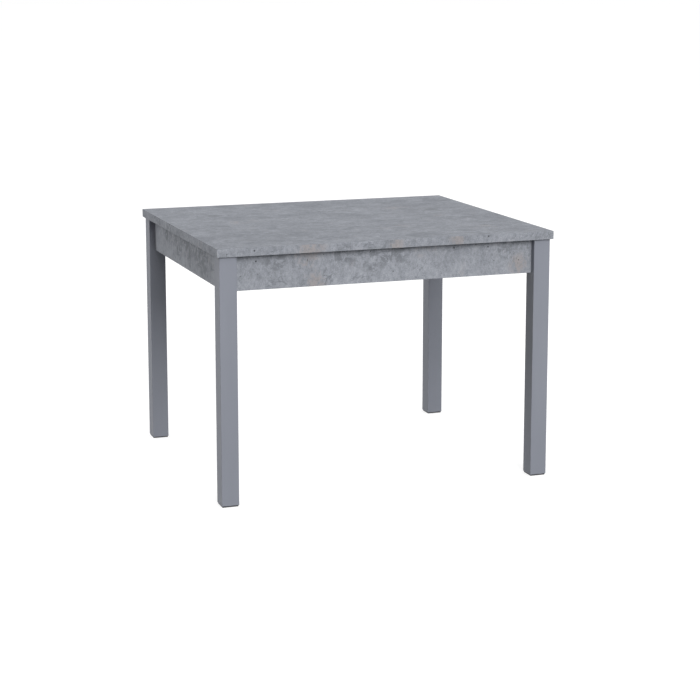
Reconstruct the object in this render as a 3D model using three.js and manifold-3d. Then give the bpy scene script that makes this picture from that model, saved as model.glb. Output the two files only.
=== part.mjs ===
// Extendable dining table: a square-legged frame with a top in two sliding halves.
//
// Each half of the top stands on two steel sliders. The sliders carry nylon rollers that run in two
// aluminium channels, one along the inside of each long apron. When the halves are pulled apart along X, a
// folding leaf that is stored on two bearers under the top fills the gap between them.
//
// Millimetres. +X runs along the table's length, +Z is up, and the front long side faces -Y.
// The origin is on the floor, under the middle of the top. A side is -1 or 1: sideX is left or right, and
// sideY is front or back.

import * as THREE from 'three';
import { mergeVertices } from 'three/addons/utils/BufferGeometryUtils.js';
import Module from 'manifold-3d';

const wasm = await Module();
wasm.setup();

// ---- Driving dimensions -------------------------------------------------------------------------

const TABLE_LENGTH = 1050;
const TABLE_WIDTH = 900;
const TABLE_HEIGHT = 760;
const TOP_THICKNESS = 25;
const TRAVEL = 200;             // how far each half of the top slides out

const LEG_SIZE = 52;
const TOP_OVERHANG = 8;         // from the legs' outer faces to the edge of the top
const APRON_SETBACK = 18;       // from the legs' outer faces to the aprons' outer faces
const APRON_HEIGHT = 102;
const APRON_THICKNESS = 16;

const GLIDE_HEIGHT = 4;
const GLIDE_INSET = 2;
const GLIDE_PIN_RADIUS = 3;
const GLIDE_PIN_LENGTH = 18;

const BRACKET_THICKNESS = 3;
const BRACKET_FLANGE = 30;
const BRACKET_LEG_GAP = 5;      // from the leg's inner edge to the bracket's web
const BRACKET_RISE = 8;         // from the aprons' lower edge to the bracket's
const BRACKET_DROP = 10;        // from the runner channels to the bracket's upper edge

const BOLT_RADIUS = 4;
const BOLT_DEPTH = 42;          // length of bolt inside the leg and the gap behind it
const BOLT_HEAD_RADIUS = 7.5;
const BOLT_HEAD_HEIGHT = 5.5;

const CHANNEL_WALL = 3;
const CHANNEL_LIP = 1.7;        // how far the channel reaches past the rollers' open side
const CHANNEL_DROP = 4;         // from the top of the frame to the top of the channel

const ROLLER_RADIUS = 14.5;
const ROLLER_WIDTH = 10;
const ROLLER_BEVEL = 1.5;
const PIN_RADIUS = 3;
const PIN_HEAD_RADIUS = 6;
const PIN_HEAD_HEIGHT = 2;
const PIN_COLLAR_RADIUS = 5;

const SLIDER_WALL = 2.5;
const SLIDER_FLANGE_THICKNESS = 3;
const SLIDER_FLANGE_WIDTH = 30;
const SLIDER_PIN_EDGE = 11;     // from the rollers' axes to the web's lower edge
const INNER_ROLLER_OFFSET = 28; // from the centre joint to the nearest roller's axis

const LEAF_DROP = 17;           // from the underside of the top to the stored leaf
const LEAF_FOLD_GAP = 3;        // between the leaf's two folded boards
const BEARER_WIDTH = 40;
const BEARER_HEIGHT = 20;
const BEARER_INSET = 60;        // from the leaf's ends to the bearers' middle

const HINGE_LENGTH = 60;
const HINGE_DEPTH = 25;
const HINGE_BARREL_RADIUS = 4;
const HINGE_INSET = 90;         // from the leaf's ends to the hinges' middle

const DOWEL_RADIUS = 5;
const DOWEL_LENGTH = 40;
const DOWEL_INNER = 130;        // from the middle of the table to the inner dowels
const DOWEL_EDGE = 105;         // from the table's edge to the outer dowels

const LATCH_REACH = 70;         // from the hook's pivot to the keeper
const LATCH_HALF_WIDTH = 11;
const LATCH_THICKNESS = 3;
const LATCH_TAIL = 34;
const LATCH_TIP = 13;
const STUD_RADIUS = 3;
const STUD_COLLAR_RADIUS = 8;
const STUD_HEAD_RADIUS = 8;
const STUD_HEAD_HEIGHT = 2.5;
const STUD_SCREW_RADIUS = 2.5;
const STUD_SCREW_LENGTH = 14;

// ---- Clearances ---------------------------------------------------------------------------------

const GAP = 0.3;                // between two pieces that rest against each other
const JOINT_GAP = 0.4;          // between the closed halves of the top
const SLIDE_GAP = 1;            // between the frame and the top that slides over it
const RUNNING_GAP = 1;          // beside whatever moves past a fixed piece
const ROLLER_PLAY = 0.7;        // between a roller and the upper wall of its channel
const NOTCH_GAP = 1.2;          // around the keeper in the hook's notch
const LATCH_SIDE_GAP = 25;      // between the released hook and the slider beside it
const STOP_GAP = 1;             // between a roller and the leg that ends its channel

// ---- Derived places -----------------------------------------------------------------------------

const halfLength = TABLE_LENGTH / 2;
const halfWidth = TABLE_WIDTH / 2;
const topUnderside = TABLE_HEIGHT - TOP_THICKNESS;
const frameTop = topUnderside - SLIDE_GAP;
const legInset = TOP_OVERHANG + LEG_SIZE / 2;
const legCentreX = halfLength - legInset;
const legCentreY = halfWidth - legInset;
const legInnerX = legCentreX - LEG_SIZE / 2;
const legInnerY = legCentreY - LEG_SIZE / 2;
const apronOuterInset = TOP_OVERHANG + APRON_SETBACK;
const apronMiddleX = halfLength - apronOuterInset - APRON_THICKNESS / 2;
const apronMiddleY = halfWidth - apronOuterInset - APRON_THICKNESS / 2;
const apronInnerY = apronMiddleY - APRON_THICKNESS / 2;
const apronBottom = frameTop - APRON_HEIGHT;

// Across each runner, measured from the inner face of the long apron towards the middle of the table.
const pinHeadSide = GAP + CHANNEL_WALL + RUNNING_GAP;
const rollerSide = pinHeadSide + PIN_HEAD_HEIGHT + GAP;
const rollerFarSide = rollerSide + ROLLER_WIDTH;
const channelOpenSide = rollerFarSide + CHANNEL_LIP;
const sliderWebSide = channelOpenSide + RUNNING_GAP;
const sliderWebFarSide = sliderWebSide + SLIDER_WALL;
const sliderFlangeSide = sliderWebSide + SLIDER_FLANGE_WIDTH;

const channelTop = frameTop - CHANNEL_DROP;
const rollerAxisHeight = channelTop - CHANNEL_WALL - ROLLER_PLAY - ROLLER_RADIUS;
const channelBottom = rollerAxisHeight - ROLLER_RADIUS - GAP - CHANNEL_WALL;
const channelHalfLength = legInnerX - GAP;
const outerRollerOffset = legInnerX - STOP_GAP - ROLLER_RADIUS - TRAVEL;
const sliderInnerEnd = INNER_ROLLER_OFFSET - ROLLER_RADIUS;
const sliderOuterEnd = outerRollerOffset + ROLLER_RADIUS;
const sliderTop = topUnderside - GAP;
const sliderBottom = rollerAxisHeight - SLIDER_PIN_EDGE;

const bracketBottom = apronBottom + BRACKET_RISE;
const bracketHeight = channelBottom - BRACKET_DROP - bracketBottom;

const leafLength = 2 * TRAVEL - JOINT_GAP;
const leafBoardWidth = TABLE_WIDTH / 2;
const leafTop = topUnderside - LEAF_DROP;
const leafFold = leafTop - TOP_THICKNESS - LEAF_FOLD_GAP / 2;
const leafBottom = leafTop - 2 * TOP_THICKNESS - LEAF_FOLD_GAP;

const dowelHeight = topUnderside + TOP_THICKNESS / 2;
const dowelHoleRadius = DOWEL_RADIUS + GAP;
const dowelHoleDepth = DOWEL_LENGTH / 2 + RUNNING_GAP;
const dowelOuter = halfWidth - DOWEL_EDGE;
const dowelOffsets = [-dowelOuter, -DOWEL_INNER, DOWEL_INNER, dowelOuter];
const studHookTop = topUnderside - GAP - STUD_HEAD_HEIGHT;
const studHookBottom = studHookTop - LATCH_THICKNESS - 2 * GAP;
const latchPivotX = -LATCH_REACH / 2;
const latchOffset = apronInnerY - sliderFlangeSide - LATCH_SIDE_GAP - LATCH_REACH - LATCH_TIP;

// ---- Materials ----------------------------------------------------------------------------------

function finish(colour, roughness, metalness) {
  return new THREE.MeshStandardMaterial({ color: colour, roughness, metalness });
}

const concreteLaminate = finish(0x94979e, 0.6, 0);
const greyLacquer = finish(0x8c8f98, 0.42, 0);
const blackPlastic = finish(0x1f2023, 0.6, 0);
const zincSteel = finish(0xa9abad, 0.4, 0.9);
const anodisedAluminium = finish(0xb9bbbe, 0.35, 0.9);
const whiteNylon = finish(0xdedcd4, 0.5, 0);
const beechWood = finish(0xc79f6e, 0.6, 0);

// ---- Solid helpers ------------------------------------------------------------------------------

function toSolid(geometry) {
  const bare = geometry.clone();
  bare.deleteAttribute('normal');
  bare.deleteAttribute('uv');
  const merged = mergeVertices(bare, 1e-4);
  const vertProperties = new Float32Array(merged.attributes.position.array);
  const triVerts = new Uint32Array(merged.index.array);
  return new wasm.Manifold(new wasm.Mesh({ numProp: 3, vertProperties, triVerts }));
}

function toGeometry(solid) {
  const { vertProperties, triVerts } = solid.getMesh();
  const geometry = new THREE.BufferGeometry();
  geometry.setAttribute('position', new THREE.BufferAttribute(new Float32Array(vertProperties), 3));
  geometry.setIndex(new THREE.BufferAttribute(new Uint32Array(triVerts), 1));
  geometry.computeVertexNormals();
  return geometry;
}

function cut(geometry, ...tools) {
  return toGeometry(tools.reduce((solid, tool) => solid.subtract(toSolid(tool)), toSolid(geometry)));
}

function join(geometry, ...others) {
  return toGeometry(others.reduce((solid, other) => solid.add(toSolid(other)), toSolid(geometry)));
}

// A box between two corners.
function boxBetween(low, high) {
  const size = high.map((value, axis) => value - low[axis]);
  const middle = high.map((value, axis) => (value + low[axis]) / 2);
  return new THREE.BoxGeometry(...size).translate(...middle);
}

// A round bar from a start point along a direction.
function bar(radius, length, start, direction, segments = 16) {
  const geometry = new THREE.CylinderGeometry(radius, radius, length, segments);
  const along = new THREE.Vector3(...direction).normalize();
  const turn = new THREE.Quaternion().setFromUnitVectors(new THREE.Vector3(0, 1, 0), along);
  geometry.translate(0, length / 2, 0).applyQuaternion(turn);
  return geometry.translate(...start);
}

// A turned piece. Steps are [radius, length] pairs that follow one another from the origin along a direction.
function turned(steps, direction, segments = 16) {
  const profile = [new THREE.Vector2(0, 0)];
  let reached = 0;
  for (const [radius, length] of steps) {
    profile.push(new THREE.Vector2(radius, reached));
    reached += length;
    profile.push(new THREE.Vector2(radius, reached));
  }
  profile.push(new THREE.Vector2(0, reached));
  const along = new THREE.Vector3(...direction);
  const turn = new THREE.Quaternion().setFromUnitVectors(new THREE.Vector3(0, 1, 0), along);
  return new THREE.LatheGeometry(profile, segments).applyQuaternion(turn);
}

// An outline in the Y-Z plane, drawn out along X from start to end.
function extrudeAlongX(outline, start, end) {
  const shape = new THREE.Shape(outline.map(([y, z]) => new THREE.Vector2(y, z)));
  const geometry = new THREE.ExtrudeGeometry(shape, { depth: end - start, bevelEnabled: false });
  const yzPlane = new THREE.Matrix4().makeBasis(
    new THREE.Vector3(0, 1, 0),
    new THREE.Vector3(0, 0, 1),
    new THREE.Vector3(1, 0, 0),
  );
  return geometry.applyMatrix4(yzPlane).translate(start, 0, 0);
}

function addPiece(group, name, geometry, material, position = [0, 0, 0]) {
  const mesh = new THREE.Mesh(geometry, material.clone());
  mesh.name = name;
  mesh.position.set(...position);
  group.add(mesh);
}

// ---- Corner: leg, glide, bracket and bolt -------------------------------------------------------
// A corner's own frame has its origin on the floor under the leg, with +X and +Y towards the table's middle.

const boltHeight = bracketBottom + bracketHeight / 2;
const legEdgeReach = (LEG_SIZE / 2) * Math.SQRT2;
const bracketNear = legEdgeReach + BRACKET_LEG_GAP;
const bracketFar = bracketNear + BRACKET_THICKNESS;
const diagonal = [Math.SQRT1_2, Math.SQRT1_2, 0];

function alongDiagonal(distance) {
  return [distance * Math.SQRT1_2, distance * Math.SQRT1_2, boltHeight];
}

function boltHole() {
  const start = bracketFar - BRACKET_THICKNESS - BOLT_DEPTH - RUNNING_GAP;
  const length = BOLT_DEPTH + 2 * BRACKET_THICKNESS + RUNNING_GAP;
  return bar(BOLT_RADIUS + GAP, length, alongDiagonal(start), diagonal);
}

function legGeometry() {
  const half = LEG_SIZE / 2;
  const post = boxBetween([-half, -half, GLIDE_HEIGHT], [half, half, frameTop]);
  const pinHoleLength = GLIDE_PIN_LENGTH + 2 * RUNNING_GAP;
  const pinHole = bar(GLIDE_PIN_RADIUS + GAP, pinHoleLength, [0, 0, GLIDE_HEIGHT - RUNNING_GAP], [0, 0, 1]);
  return cut(post, pinHole, boltHole());
}

function glideGeometry() {
  const half = LEG_SIZE / 2 - GLIDE_INSET;
  const padTop = GLIDE_HEIGHT - GAP;
  const pad = boxBetween([-half, -half, 0], [half, half, padTop]);
  const pinStart = padTop / 2;
  const pin = bar(GLIDE_PIN_RADIUS, GLIDE_PIN_LENGTH + padTop - pinStart, [0, 0, pinStart], [0, 0, 1]);
  return join(pad, pin);
}

// A strip of steel that is bent across the corner, with a flange against each apron.
function bracketGeometry() {
  const apronFace = LEG_SIZE / 2 - LEG_SIZE + APRON_SETBACK + APRON_THICKNESS;
  const back = apronFace + GAP;
  const front = back + BRACKET_THICKNESS;
  const nearSum = bracketNear * Math.SQRT2;
  const farSum = bracketFar * Math.SQRT2;
  const flangeEnd = farSum - front + BRACKET_FLANGE;
  const halfOutline = [
    [flangeEnd, back],
    [flangeEnd, front],
    [farSum - front, front],
  ];
  const mirrored = halfOutline.map(([x, y]) => [y, x]).reverse();
  const innerBends = [[back, nearSum - back], [nearSum - back, back]];
  const outline = [...halfOutline, ...mirrored, ...innerBends];
  const shape = new THREE.Shape(outline.map(([x, y]) => new THREE.Vector2(x, y)));
  const plate = new THREE.ExtrudeGeometry(shape, { depth: bracketHeight, bevelEnabled: false });
  plate.translate(0, 0, bracketBottom);
  return cut(plate, boltHole());
}

function boltGeometry() {
  const shankLength = BOLT_DEPTH + BRACKET_THICKNESS + GAP;
  const shankStart = bracketFar + GAP - shankLength;
  const shank = bar(BOLT_RADIUS, shankLength + BOLT_HEAD_HEIGHT / 2, alongDiagonal(shankStart), diagonal);
  const head = bar(BOLT_HEAD_RADIUS, BOLT_HEAD_HEIGHT, alongDiagonal(bracketFar + GAP), diagonal, 6);
  return join(shank, head);
}

function makeCorner(where, sideX, sideY) {
  const corner = new THREE.Group();
  corner.position.set(sideX * legCentreX, sideY * legCentreY, 0);
  corner.rotation.z = Math.atan2(-sideY, -sideX) - Math.PI / 4;
  addPiece(corner, `leg_${where}`, legGeometry(), greyLacquer);
  addPiece(corner, `foot_glide_${where}`, glideGeometry(), blackPlastic);
  addPiece(corner, `corner_bracket_${where}`, bracketGeometry(), zincSteel);
  addPiece(corner, `leg_bolt_${where}`, boltGeometry(), zincSteel);
  return corner;
}

// ---- Frame: aprons, channels and bearers --------------------------------------------------------

function addAprons(frame) {
  const halfHeight = APRON_HEIGHT / 2;
  const middleHeight = apronBottom + halfHeight;
  const longLength = 2 * (legInnerX - GAP);
  const endLength = 2 * (legInnerY - GAP);
  for (const [where, side] of [['front', -1], ['back', 1]]) {
    const board = new THREE.BoxGeometry(longLength, APRON_THICKNESS, APRON_HEIGHT);
    addPiece(frame, `apron_${where}`, board, concreteLaminate, [0, side * apronMiddleY, middleHeight]);
  }
  for (const [where, side] of [['left', -1], ['right', 1]]) {
    const board = new THREE.BoxGeometry(APRON_THICKNESS, endLength, APRON_HEIGHT);
    addPiece(frame, `apron_${where}`, board, concreteLaminate, [side * apronMiddleX, 0, middleHeight]);
  }
}

// Turns a distance from the long apron's inner face into a place across the table.
function acrossFrom(side, distance) {
  return side * (apronInnerY - distance);
}

function channelGeometry(side) {
  const web = GAP + CHANNEL_WALL;
  const outline = [
    [GAP, channelBottom],
    [channelOpenSide, channelBottom],
    [channelOpenSide, channelBottom + CHANNEL_WALL],
    [web, channelBottom + CHANNEL_WALL],
    [web, channelTop - CHANNEL_WALL],
    [channelOpenSide, channelTop - CHANNEL_WALL],
    [channelOpenSide, channelTop],
    [GAP, channelTop],
  ];
  const placed = outline.map(([distance, height]) => [acrossFrom(side, distance), height]);
  return extrudeAlongX(placed, -channelHalfLength, channelHalfLength);
}

function addBearers(frame) {
  const offset = leafLength / 2 - BEARER_INSET;
  const height = leafBottom - GAP - BEARER_HEIGHT / 2;
  for (const [where, side] of [['left', -1], ['right', 1]]) {
    const batten = new THREE.BoxGeometry(BEARER_WIDTH, 2 * (apronInnerY - GAP), BEARER_HEIGHT);
    addPiece(frame, `leaf_bearer_${where}`, batten, beechWood, [side * offset, 0, height]);
  }
}

function makeFrame() {
  const frame = new THREE.Group();
  for (const [row, sideY] of [['front', -1], ['back', 1]]) {
    for (const [end, sideX] of [['left', -1], ['right', 1]]) {
      frame.add(makeCorner(`${row}_${end}`, sideX, sideY));
    }
    addPiece(frame, `runner_channel_${row}`, channelGeometry(sideY), anodisedAluminium);
  }
  addAprons(frame);
  addBearers(frame);
  return frame;
}

// ---- Stored leaf: two boards folded on each other, with two hinges ------------------------------

function leafBoard(bottom) {
  const halfX = leafLength / 2;
  const halfY = leafBoardWidth / 2;
  const board = boxBetween([-halfX, -halfY, bottom], [halfX, halfY, bottom + TOP_THICKNESS]);
  const fold = leafBoardWidth / 2;
  const holes = dowelOffsets.filter((offset) => offset > 0).map((offset) => {
    const start = [-halfX - RUNNING_GAP, fold - offset, bottom + TOP_THICKNESS / 2];
    return bar(dowelHoleRadius, dowelHoleDepth + RUNNING_GAP, start, [1, 0, 0]);
  });
  return cut(board, ...holes);
}

function hingeGeometry() {
  const edge = leafBoardWidth / 2;
  const halfPlate = LEAF_FOLD_GAP / 2 - GAP;
  const barrelMiddle = edge + HINGE_BARREL_RADIUS + GAP;
  const halfLengthX = HINGE_LENGTH / 2;
  const plateLow = [-halfLengthX, edge - HINGE_DEPTH, -halfPlate];
  const plate = boxBetween(plateLow, [halfLengthX, barrelMiddle, halfPlate]);
  const barrel = bar(HINGE_BARREL_RADIUS, HINGE_LENGTH, [-halfLengthX, barrelMiddle, 0], [1, 0, 0]);
  return join(plate, barrel);
}

function makeLeaf() {
  const leaf = new THREE.Group();
  addPiece(leaf, 'leaf_board_upper', leafBoard(leafTop - TOP_THICKNESS), concreteLaminate);
  addPiece(leaf, 'leaf_board_lower', leafBoard(leafBottom), concreteLaminate);
  const hingeOffset = leafLength / 2 - HINGE_INSET;
  for (const [where, side] of [['left', -1], ['right', 1]]) {
    addPiece(leaf, `leaf_hinge_${where}`, hingeGeometry(), zincSteel, [side * hingeOffset, 0, leafFold]);
  }
  return leaf;
}

// ---- Half of the top: board, sliders and rollers ------------------------------------------------

function topGeometry(side, studPlaces) {
  const ends = [side * JOINT_GAP / 2, side * halfLength].sort((a, b) => a - b);
  const board = boxBetween([ends[0], -halfWidth, topUnderside], [ends[1], halfWidth, TABLE_HEIGHT]);
  const dowelHoles = dowelOffsets.map((offset) => {
    const length = dowelHoleDepth + RUNNING_GAP;
    return bar(dowelHoleRadius, length, [-side * RUNNING_GAP, offset, dowelHeight], [side, 0, 0]);
  });
  const studHoles = studPlaces.map(([x, y]) => {
    const length = STUD_SCREW_LENGTH + 2 * RUNNING_GAP;
    return bar(STUD_SCREW_RADIUS + GAP, length, [x, y, topUnderside - RUNNING_GAP], [0, 0, 1]);
  });
  return cut(board, ...dowelHoles, ...studHoles);
}

// An angle: the web stands beside the channel, and the flange lies under the top.
function sliderGeometry(sideX, sideY, rollerOffsets) {
  const outline = [
    [sliderWebSide, sliderBottom],
    [sliderWebFarSide, sliderBottom],
    [sliderWebFarSide, sliderTop - SLIDER_FLANGE_THICKNESS],
    [sliderFlangeSide, sliderTop - SLIDER_FLANGE_THICKNESS],
    [sliderFlangeSide, sliderTop],
    [sliderWebSide, sliderTop],
  ];
  const placed = outline.map(([distance, height]) => [acrossFrom(sideY, distance), height]);
  const ends = [sideX * sliderInnerEnd, sideX * sliderOuterEnd].sort((a, b) => a - b);
  const angle = extrudeAlongX(placed, ends[0], ends[1]);
  const holes = rollerOffsets.map((offset) => {
    const start = [sideX * offset, acrossFrom(sideY, sliderWebSide - RUNNING_GAP), rollerAxisHeight];
    return bar(PIN_RADIUS + GAP, SLIDER_WALL + 2 * RUNNING_GAP, start, [0, -sideY, 0]);
  });
  return cut(angle, ...holes);
}

function rollerGeometry() {
  const bore = PIN_RADIUS + GAP;
  const rim = ROLLER_RADIUS - ROLLER_BEVEL;
  const outline = [
    [bore, 0],
    [rim, 0],
    [ROLLER_RADIUS, ROLLER_BEVEL],
    [ROLLER_RADIUS, ROLLER_WIDTH - ROLLER_BEVEL],
    [rim, ROLLER_WIDTH],
    [bore, ROLLER_WIDTH],
    [bore, 0],
  ];
  return new THREE.LatheGeometry(outline.map(([radius, along]) => new THREE.Vector2(radius, along)), 28);
}

// A rivet: head in the channel, shank through the roller, collar against the slider and a closed far end.
function pinGeometry(sideY) {
  const shank = rollerFarSide + GAP - pinHeadSide - PIN_HEAD_HEIGHT;
  const collar = sliderWebSide - GAP - rollerFarSide - GAP;
  const throughWeb = SLIDER_WALL + 2 * GAP;
  const steps = [
    [PIN_HEAD_RADIUS, PIN_HEAD_HEIGHT],
    [PIN_RADIUS, shank],
    [PIN_COLLAR_RADIUS, collar],
    [PIN_RADIUS, throughWeb],
    [PIN_COLLAR_RADIUS, PIN_HEAD_HEIGHT],
  ];
  return turned(steps, [0, -sideY, 0]);
}

function addRunner(half, end, sideX, row, sideY) {
  const rollerPlaces = [['inner', INNER_ROLLER_OFFSET], ['outer', outerRollerOffset]];
  const offsets = rollerPlaces.map(([, offset]) => offset);
  addPiece(half, `slider_${row}_${end}`, sliderGeometry(sideX, sideY, offsets), zincSteel);
  const rollerLow = Math.min(acrossFrom(sideY, rollerSide), acrossFrom(sideY, rollerFarSide));
  for (const [where, offset] of rollerPlaces) {
    const x = sideX * offset;
    const name = `${row}_${end}_${where}`;
    addPiece(half, `roller_${name}`, rollerGeometry(), whiteNylon, [x, rollerLow, rollerAxisHeight]);
    const pinPlace = [x, acrossFrom(sideY, pinHeadSide), rollerAxisHeight];
    addPiece(half, `roller_pin_${name}`, pinGeometry(sideY), zincSteel, pinPlace);
  }
}

// ---- Latch: hook, pivot stud and keeper stud ----------------------------------------------------
// The hook is drawn as it lies when closed, with its pivot at the origin, then turned clear of the joint.
// Its notch opens on the side that leads as it swings in, so that it takes the keeper from the side.

function hookGeometry(sideY) {
  const notch = STUD_RADIUS + NOTCH_GAP;
  const open = -sideY * LATCH_HALF_WIDTH;
  const shape = new THREE.Shape();
  shape.moveTo(LATCH_REACH - notch, open);
  shape.lineTo(LATCH_REACH - notch, 0);
  shape.absarc(LATCH_REACH, 0, notch, Math.PI, 0, sideY > 0);
  shape.lineTo(LATCH_REACH + notch, open);
  shape.lineTo(LATCH_REACH + LATCH_TIP, open);
  shape.lineTo(LATCH_REACH + LATCH_TIP, -open);
  shape.lineTo(0, -open);
  shape.lineTo(-LATCH_TAIL, -open / 2);
  shape.lineTo(-LATCH_TAIL, open / 2);
  shape.lineTo(0, open);
  const options = { depth: LATCH_THICKNESS, bevelEnabled: false, curveSegments: 8 };
  const plate = new THREE.ExtrudeGeometry(shape, options);
  const hole = bar(STUD_RADIUS + GAP, LATCH_THICKNESS + 2 * RUNNING_GAP, [0, 0, -RUNNING_GAP], [0, 0, 1]);
  return cut(plate, hole);
}

// A shoulder screw, drawn downwards from the end of its thread in the top.
function studGeometry() {
  const steps = [
    [STUD_SCREW_RADIUS, STUD_SCREW_LENGTH + GAP],
    [STUD_COLLAR_RADIUS, STUD_HEAD_HEIGHT - GAP],
    [STUD_RADIUS, studHookTop - studHookBottom + GAP],
    [STUD_HEAD_RADIUS, STUD_HEAD_HEIGHT],
  ];
  return turned(steps, [0, 0, -1]);
}

function addLatch(leftHalf, rightHalf, row, sideY) {
  const y = sideY * latchOffset;
  const studTop = topUnderside + STUD_SCREW_LENGTH;
  addPiece(leftHalf, `latch_pivot_${row}`, studGeometry(), zincSteel, [latchPivotX, y, studTop]);
  addPiece(rightHalf, `latch_keeper_${row}`, studGeometry(), zincSteel, [-latchPivotX, y, studTop]);
  const released = new THREE.Group();
  released.position.set(latchPivotX, y, studHookBottom + GAP);
  released.rotation.z = sideY * Math.PI / 2;
  addPiece(released, `latch_hook_${row}`, hookGeometry(sideY), zincSteel);
  leftHalf.add(released);
}

// ---- Top: two halves, dowels and latches --------------------------------------------------------

function makeTop() {
  const top = new THREE.Group();
  const halves = {};
  for (const [end, side] of [['left', -1], ['right', 1]]) {
    const half = new THREE.Group();
    const studPlaces = [-latchOffset, latchOffset].map((y) => [-side * latchPivotX, y]);
    addPiece(half, `top_${end}`, topGeometry(side, studPlaces), concreteLaminate);
    for (const [row, sideY] of [['front', -1], ['back', 1]]) {
      addRunner(half, end, side, row, sideY);
    }
    halves[end] = half;
    top.add(half);
  }
  dowelOffsets.forEach((offset, index) => {
    const peg = bar(DOWEL_RADIUS, DOWEL_LENGTH, [-DOWEL_LENGTH / 2, offset, dowelHeight], [1, 0, 0]);
    addPiece(halves.left, `joint_dowel_${index + 1}`, peg, beechWood);
  });
  for (const [row, sideY] of [['front', -1], ['back', 1]]) {
    addLatch(halves.left, halves.right, row, sideY);
  }
  return top;
}

const table = new THREE.Group();
table.add(makeFrame(), makeLeaf(), makeTop());

export default table;
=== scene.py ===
# %% [markdown]
# # An extending dining table
#
# This lesson dresses a table that is already built to size. Its boards, legs, runners and rollers come in as
# plain solids, each tied to the body it moves with. Here every one of them gets a finish that is drawn by
# nodes, and many are built again with rounded edges, screws and flutes that the plain solids leave out.
# The table stands on the floor at z = 0, its length lies along X, and its front looks towards -Y.

# %% Load the plain solids
import math

import bmesh
import bpy
from mathutils import Matrix, Vector


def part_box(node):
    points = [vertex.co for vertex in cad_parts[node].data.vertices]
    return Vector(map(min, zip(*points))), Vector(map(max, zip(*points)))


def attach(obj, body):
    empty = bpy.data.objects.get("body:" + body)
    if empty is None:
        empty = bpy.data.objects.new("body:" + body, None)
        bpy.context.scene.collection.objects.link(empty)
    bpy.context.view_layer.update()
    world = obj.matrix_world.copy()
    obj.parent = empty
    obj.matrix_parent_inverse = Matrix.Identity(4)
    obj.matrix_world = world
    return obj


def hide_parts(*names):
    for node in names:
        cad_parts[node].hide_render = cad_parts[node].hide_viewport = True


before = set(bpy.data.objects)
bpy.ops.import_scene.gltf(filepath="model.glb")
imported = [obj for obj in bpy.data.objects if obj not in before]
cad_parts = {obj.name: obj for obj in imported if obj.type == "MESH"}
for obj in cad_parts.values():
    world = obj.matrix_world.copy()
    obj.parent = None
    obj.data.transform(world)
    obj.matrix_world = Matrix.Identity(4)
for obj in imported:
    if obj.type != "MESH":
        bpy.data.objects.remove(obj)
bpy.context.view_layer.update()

MM = 0.001
ROWS = {"front": -1, "back": 1}
ENDS = {"left": -1, "right": 1}

# %% [markdown]
# ## The view
#
# A camera in Blender looks down its own -Z axis, so it is first tipped up from the floor by 90 degrees less
# the pitch, then turned about Z. A long lens from far away keeps the legs nearly parallel, as a catalogue
# picture does. The small shift slides the picture on the film, as a view camera does, so the table sits in
# the middle with the camera tipped down less, and less tipping also keeps the legs parallel.

# %% Set up the camera
VIEW_FROM = Vector((-1.891, -5.348, 1.563))
VIEW_TURN = math.radians(19.81)
VIEW_PITCH = math.radians(9.96)
FILM_WIDTH = 36
LENS_LENGTH = 93.75
FILM_SHIFT = -0.1

lens = bpy.data.cameras.new("view")
lens.sensor_width = FILM_WIDTH
lens.lens = LENS_LENGTH
lens.shift_y = FILM_SHIFT
camera = bpy.data.objects.new("view", lens)
camera.location = VIEW_FROM
camera.rotation_euler = (math.pi / 2 - VIEW_PITCH, 0, -VIEW_TURN)
bpy.context.scene.collection.objects.link(camera)
bpy.context.scene.camera = camera
print("camera stands", round(VIEW_FROM.length, 2), "m from the floor under the table's middle")

# %% [markdown]
# ## Numbers that vary over a surface
#
# A finish is a drawing made of numbers: how dark, how rough, how high at each point. Blender does the sums
# with Math nodes, which are slow to read when there are many. This small class wraps one output of a node
# and lets ordinary Python signs add the Math nodes, so `1 - mask * 0.5` means what it says.

# %% A field wraps one output of a node
class Field:
    def __init__(self, finish, socket):
        self.finish = finish
        self.socket = socket

    def _sum(self, operation, first, second):
        return self.finish.node("Math", {"operation": operation}, {0: first, 1: second})

    def __add__(self, other):
        return self._sum("ADD", self, other)

    def __radd__(self, other):
        return self._sum("ADD", other, self)

    def __sub__(self, other):
        return self._sum("SUBTRACT", self, other)

    def __rsub__(self, other):
        return self._sum("SUBTRACT", other, self)

    def __mul__(self, other):
        return self._sum("MULTIPLY", self, other)

    def __rmul__(self, other):
        return self._sum("MULTIPLY", other, self)

    def between(self, low, high):
        """0 below low, 1 above high, and a smooth step from one to the other."""
        settings = {"interpolation_type": "SMOOTHSTEP"}
        return self.finish.node("MapRange", settings, {"Value": self, "From Min": low, "From Max": high})


# %% [markdown]
# ## A finish
#
# Every material here is a Finish: a fresh node tree, one method that adds a node of any type, and a few
# short ways to say what is used again and again. The shader's own numbers, such as how strongly it mirrors,
# are set on the shader itself, and only what changes from place to place is drawn by nodes. A Mix node has
# sockets of the same name for numbers, vectors and colours, so its colour sockets go by their numbers here.

# %% A finish holds one material
MIX_FACTOR, MIX_A, MIX_B, MIX_COLOUR = 0, 6, 7, 2


def new_finish(name):
    return Finish(bpy.data.materials.new(name))


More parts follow.
